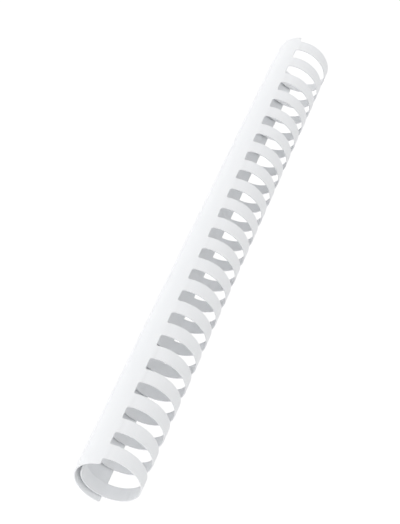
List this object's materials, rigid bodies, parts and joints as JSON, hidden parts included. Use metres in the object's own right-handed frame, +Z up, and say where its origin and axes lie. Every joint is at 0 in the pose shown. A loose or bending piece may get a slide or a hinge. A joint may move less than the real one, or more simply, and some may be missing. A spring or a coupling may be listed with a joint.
{
  "type": "plastic comb binding spine",
  "caption": "White plastic binding comb: a long open spine with a row of sprung rings that open and close round punched sheets.",
  "frame": {"origin": "on the surface that the comb lies on, under the middle of the spine's axis", "axes": "+X along the comb, +Y from the ring roots' side towards the spine's free edge, +Z up from the spine's back to the crown of the rings"},
  "size_m": [0.3, 0.0287, 0.0293],
  "materials": {
    "comb_plastic": "smooth satin white PVC sheet"
  },
  "bodies": {
    "spine": {"spine": "comb_plastic"},
    "ring_01_bow": {"ring_01_bow": "comb_plastic"},
    "ring_01_tail": {"ring_01_tail": "comb_plastic"},
    "ring_02_bow": {"ring_02_bow": "comb_plastic"},
    "ring_02_tail": {"ring_02_tail": "comb_plastic"},
    "ring_03_bow": {"ring_03_bow": "comb_plastic"},
    "ring_03_tail": {"ring_03_tail": "comb_plastic"},
    "ring_04_bow": {"ring_04_bow": "comb_plastic"},
    "ring_04_tail": {"ring_04_tail": "comb_plastic"},
    "ring_05_bow": {"ring_05_bow": "comb_plastic"},
    "ring_05_tail": {"ring_05_tail": "comb_plastic"},
    "ring_06_bow": {"ring_06_bow": "comb_plastic"},
    "ring_06_tail": {"ring_06_tail": "comb_plastic"},
    "ring_07_bow": {"ring_07_bow": "comb_plastic"},
    "ring_07_tail": {"ring_07_tail": "comb_plastic"},
    "ring_08_bow": {"ring_08_bow": "comb_plastic"},
    "ring_08_tail": {"ring_08_tail": "comb_plastic"},
    "ring_09_bow": {"ring_09_bow": "comb_plastic"},
    "ring_09_tail": {"ring_09_tail": "comb_plastic"},
    "ring_10_bow": {"ring_10_bow": "comb_plastic"},
    "ring_10_tail": {"ring_10_tail": "comb_plastic"},
    "ring_11_bow": {"ring_11_bow": "comb_plastic"},
    "ring_11_tail": {"ring_11_tail": "comb_plastic"},
    "ring_12_bow": {"ring_12_bow": "comb_plastic"},
    "ring_12_tail": {"ring_12_tail": "comb_plastic"},
    "ring_13_bow": {"ring_13_bow": "comb_plastic"},
    "ring_13_tail": {"ring_13_tail": "comb_plastic"},
    "ring_14_bow": {"ring_14_bow": "comb_plastic"},
    "ring_14_tail": {"ring_14_tail": "comb_plastic"},
    "ring_15_bow": {"ring_15_bow": "comb_plastic"},
    "ring_15_tail": {"ring_15_tail": "comb_plastic"},
    "ring_16_bow": {"ring_16_bow": "comb_plastic"},
    "ring_16_tail": {"ring_16_tail": "comb_plastic"},
    "ring_17_bow": {"ring_17_bow": "comb_plastic"},
    "ring_17_tail": {"ring_17_tail": "comb_plastic"},
    "ring_18_bow": {"ring_18_bow": "comb_plastic"},
    "ring_18_tail": {"ring_18_tail": "comb_plastic"},
    "ring_19_bow": {"ring_19_bow": "comb_plastic"},
    "ring_19_tail": {"ring_19_tail": "comb_plastic"},
    "ring_20_bow": {"ring_20_bow": "comb_plastic"},
    "ring_20_tail": {"ring_20_tail": "comb_plastic"},
    "ring_21_bow": {"ring_21_bow": "comb_plastic"},
    "ring_21_tail": {"ring_21_tail": "comb_plastic"}
  },
  "joints": [
    {"name": "ring_01_open", "type": "hinge", "parent": "spine", "child": "ring_01_bow", "pos_m": [0, -0.01444, 0.01584], "axis": [1, 0, 0], "range_deg": [0, 75], "stiffness_Nm_per_rad": 0.006},
    {"name": "ring_01_uncurl", "type": "hinge", "parent": "ring_01_bow", "child": "ring_01_tail", "pos_m": [0, 0.01312, 0.0209], "axis": [1, 0, 0], "range_deg": [0, 38]},
    {"name": "ring_02_open", "type": "hinge", "parent": "spine", "child": "ring_02_bow", "pos_m": [0, -0.01444, 0.01584], "axis": [1, 0, 0], "range_deg": [0, 75], "stiffness_Nm_per_rad": 0.006},
    {"name": "ring_02_uncurl", "type": "hinge", "parent": "ring_02_bow", "child": "ring_02_tail", "pos_m": [0, 0.01312, 0.0209], "axis": [1, 0, 0], "range_deg": [0, 38]},
    {"name": "ring_03_open", "type": "hinge", "parent": "spine", "child": "ring_03_bow", "pos_m": [0, -0.01444, 0.01584], "axis": [1, 0, 0], "range_deg": [0, 75], "stiffness_Nm_per_rad": 0.006},
    {"name": "ring_03_uncurl", "type": "hinge", "parent": "ring_03_bow", "child": "ring_03_tail", "pos_m": [0, 0.01312, 0.0209], "axis": [1, 0, 0], "range_deg": [0, 38]},
    {"name": "ring_04_open", "type": "hinge", "parent": "spine", "child": "ring_04_bow", "pos_m": [0, -0.01444, 0.01584], "axis": [1, 0, 0], "range_deg": [0, 75], "stiffness_Nm_per_rad": 0.006},
    {"name": "ring_04_uncurl", "type": "hinge", "parent": "ring_04_bow", "child": "ring_04_tail", "pos_m": [0, 0.01312, 0.0209], "axis": [1, 0, 0], "range_deg": [0, 38]},
    {"name": "ring_05_open", "type": "hinge", "parent": "spine", "child": "ring_05_bow", "pos_m": [0, -0.01444, 0.01584], "axis": [1, 0, 0], "range_deg": [0, 75], "stiffness_Nm_per_rad": 0.006},
    {"name": "ring_05_uncurl", "type": "hinge", "parent": "ring_05_bow", "child": "ring_05_tail", "pos_m": [0, 0.01312, 0.0209], "axis": [1, 0, 0], "range_deg": [0, 38]},
    {"name": "ring_06_open", "type": "hinge", "parent": "spine", "child": "ring_06_bow", "pos_m": [0, -0.01444, 0.01584], "axis": [1, 0, 0], "range_deg": [0, 75], "stiffness_Nm_per_rad": 0.006},
    {"name": "ring_06_uncurl", "type": "hinge", "parent": "ring_06_bow", "child": "ring_06_tail", "pos_m": [0, 0.01312, 0.0209], "axis": [1, 0, 0], "range_deg": [0, 38]},
    {"name": "ring_07_open", "type": "hinge", "parent": "spine", "child": "ring_07_bow", "pos_m": [0, -0.01444, 0.01584], "axis": [1, 0, 0], "range_deg": [0, 75], "stiffness_Nm_per_rad": 0.006},
    {"name": "ring_07_uncurl", "type": "hinge", "parent": "ring_07_bow", "child": "ring_07_tail", "pos_m": [0, 0.01312, 0.0209], "axis": [1, 0, 0], "range_deg": [0, 38]},
    {"name": "ring_08_open", "type": "hinge", "parent": "spine", "child": "ring_08_bow", "pos_m": [0, -0.01444, 0.01584], "axis": [1, 0, 0], "range_deg": [0, 75], "stiffness_Nm_per_rad": 0.006},
    {"name": "ring_08_uncurl", "type": "hinge", "parent": "ring_08_bow", "child": "ring_08_tail", "pos_m": [0, 0.01312, 0.0209], "axis": [1, 0, 0], "range_deg": [0, 38]},
    {"name": "ring_09_open", "type": "hinge", "parent": "spine", "child": "ring_09_bow", "pos_m": [0, -0.01444, 0.01584], "axis": [1, 0, 0], "range_deg": [0, 75], "stiffness_Nm_per_rad": 0.006},
    {"name": "ring_09_uncurl", "type": "hinge", "parent": "ring_09_bow", "child": "ring_09_tail", "pos_m": [0, 0.01312, 0.0209], "axis": [1, 0, 0], "range_deg": [0, 38]},
    {"name": "ring_10_open", "type": "hinge", "parent": "spine", "child": "ring_10_bow", "pos_m": [0, -0.01444, 0.01584], "axis": [1, 0, 0], "range_deg": [0, 75], "stiffness_Nm_per_rad": 0.006},
    {"name": "ring_10_uncurl", "type": "hinge", "parent": "ring_10_bow", "child": "ring_10_tail", "pos_m": [0, 0.01312, 0.0209], "axis": [1, 0, 0], "range_deg": [0, 38]},
    {"name": "ring_11_open", "type": "hinge", "parent": "spine", "child": "ring_11_bow", "pos_m": [0, -0.01444, 0.01584], "axis": [1, 0, 0], "range_deg": [0, 75], "stiffness_Nm_per_rad": 0.006},
    {"name": "ring_11_uncurl", "type": "hinge", "parent": "ring_11_bow", "child": "ring_11_tail", "pos_m": [0, 0.01312, 0.0209], "axis": [1, 0, 0], "range_deg": [0, 38]},
    {"name": "ring_12_open", "type": "hinge", "parent": "spine", "child": "ring_12_bow", "pos_m": [0, -0.01444, 0.01584], "axis": [1, 0, 0], "range_deg": [0, 75], "stiffness_Nm_per_rad": 0.006},
    {"name": "ring_12_uncurl", "type": "hinge", "parent": "ring_12_bow", "child": "ring_12_tail", "pos_m": [0, 0.01312, 0.0209], "axis": [1, 0, 0], "range_deg": [0, 38]},
    {"name": "ring_13_open", "type": "hinge", "parent": "spine", "child": "ring_13_bow", "pos_m": [0, -0.01444, 0.01584], "axis": [1, 0, 0], "range_deg": [0, 75], "stiffness_Nm_per_rad": 0.006},
    {"name": "ring_13_uncurl", "type": "hinge", "parent": "ring_13_bow", "child": "ring_13_tail", "pos_m": [0, 0.01312, 0.0209], "axis": [1, 0, 0], "range_deg": [0, 38]},
    {"name": "ring_14_open", "type": "hinge", "parent": "spine", "child": "ring_14_bow", "pos_m": [0, -0.01444, 0.01584], "axis": [1, 0, 0], "range_deg": [0, 75], "stiffness_Nm_per_rad": 0.006},
    {"name": "ring_14_uncurl", "type": "hinge", "parent": "ring_14_bow", "child": "ring_14_tail", "pos_m": [0, 0.01312, 0.0209], "axis": [1, 0, 0], "range_deg": [0, 38]},
    {"name": "ring_15_open", "type": "hinge", "parent": "spine", "child": "ring_15_bow", "pos_m": [0, -0.01444, 0.01584], "axis": [1, 0, 0], "range_deg": [0, 75], "stiffness_Nm_per_rad": 0.006},
    {"name": "ring_15_uncurl", "type": "hinge", "parent": "ring_15_bow", "child": "ring_15_tail", "pos_m": [0, 0.01312, 0.0209], "axis": [1, 0, 0], "range_deg": [0, 38]},
    {"name": "ring_16_open", "type": "hinge", "parent": "spine", "child": "ring_16_bow", "pos_m": [0, -0.01444, 0.01584], "axis": [1, 0, 0], "range_deg": [0, 75], "stiffness_Nm_per_rad": 0.006},
    {"name": "ring_16_uncurl", "type": "hinge", "parent": "ring_16_bow", "child": "ring_16_tail", "pos_m": [0, 0.01312, 0.0209], "axis": [1, 0, 0], "range_deg": [0, 38]},
    {"name": "ring_17_open", "type": "hinge", "parent": "spine", "child": "ring_17_bow", "pos_m": [0, -0.01444, 0.01584], "axis": [1, 0, 0], "range_deg": [0, 75], "stiffness_Nm_per_rad": 0.006},
    {"name": "ring_17_uncurl", "type": "hinge", "parent": "ring_17_bow", "child": "ring_17_tail", "pos_m": [0, 0.01312, 0.0209], "axis": [1, 0, 0], "range_deg": [0, 38]},
    {"name": "ring_18_open", "type": "hinge", "parent": "spine", "child": "ring_18_bow", "pos_m": [0, -0.01444, 0.01584], "axis": [1, 0, 0], "range_deg": [0, 75], "stiffness_Nm_per_rad": 0.006},
    {"name": "ring_18_uncurl", "type": "hinge", "parent": "ring_18_bow", "child": "ring_18_tail", "pos_m": [0, 0.01312, 0.0209], "axis": [1, 0, 0], "range_deg": [0, 38]},
    {"name": "ring_19_open", "type": "hinge", "parent": "spine", "child": "ring_19_bow", "pos_m": [0, -0.01444, 0.01584], "axis": [1, 0, 0], "range_deg": [0, 75], "stiffness_Nm_per_rad": 0.006},
    {"name": "ring_19_uncurl", "type": "hinge", "parent": "ring_19_bow", "child": "ring_19_tail", "pos_m": [0, 0.01312, 0.0209], "axis": [1, 0, 0], "range_deg": [0, 38]},
    {"name": "ring_20_open", "type": "hinge", "parent": "spine", "child": "ring_20_bow", "pos_m": [0, -0.01444, 0.01584], "axis": [1, 0, 0], "range_deg": [0, 75], "stiffness_Nm_per_rad": 0.006},
    {"name": "ring_20_uncurl", "type": "hinge", "parent": "ring_20_bow", "child": "ring_20_tail", "pos_m": [0, 0.01312, 0.0209], "axis": [1, 0, 0], "range_deg": [0, 38]},
    {"name": "ring_21_open", "type": "hinge", "parent": "spine", "child": "ring_21_bow", "pos_m": [0, -0.01444, 0.01584], "axis": [1, 0, 0], "range_deg": [0, 75], "stiffness_Nm_per_rad": 0.006},
    {"name": "ring_21_uncurl", "type": "hinge", "parent": "ring_21_bow", "child": "ring_21_tail", "pos_m": [0, 0.01312, 0.0209], "axis": [1, 0, 0], "range_deg": [0, 38]}
  ],
  "couplings": [
    {"joint": "ring_01_uncurl", "follows": "ring_01_open", "ratio": 0.5},
    {"joint": "ring_02_uncurl", "follows": "ring_02_open", "ratio": 0.5},
    {"joint": "ring_03_uncurl", "follows": "ring_03_open", "ratio": 0.5},
    {"joint": "ring_04_uncurl", "follows": "ring_04_open", "ratio": 0.5},
    {"joint": "ring_05_uncurl", "follows": "ring_05_open", "ratio": 0.5},
    {"joint": "ring_06_uncurl", "follows": "ring_06_open", "ratio": 0.5},
    {"joint": "ring_07_uncurl", "follows": "ring_07_open", "ratio": 0.5},
    {"joint": "ring_08_uncurl", "follows": "ring_08_open", "ratio": 0.5},
    {"joint": "ring_09_uncurl", "follows": "ring_09_open", "ratio": 0.5},
    {"joint": "ring_10_uncurl", "follows": "ring_10_open", "ratio": 0.5},
    {"joint": "ring_11_uncurl", "follows": "ring_11_open", "ratio": 0.5},
    {"joint": "ring_12_uncurl", "follows": "ring_12_open", "ratio": 0.5},
    {"joint": "ring_13_uncurl", "follows": "ring_13_open", "ratio": 0.5},
    {"joint": "ring_14_uncurl", "follows": "ring_14_open", "ratio": 0.5},
    {"joint": "ring_15_uncurl", "follows": "ring_15_open", "ratio": 0.5},
    {"joint": "ring_16_uncurl", "follows": "ring_16_open", "ratio": 0.5},
    {"joint": "ring_17_uncurl", "follows": "ring_17_open", "ratio": 0.5},
    {"joint": "ring_18_uncurl", "follows": "ring_18_open", "ratio": 0.5},
    {"joint": "ring_19_uncurl", "follows": "ring_19_open", "ratio": 0.5},
    {"joint": "ring_20_uncurl", "follows": "ring_20_open", "ratio": 0.5},
    {"joint": "ring_21_uncurl", "follows": "ring_21_open", "ratio": 0.5}
  ]
}
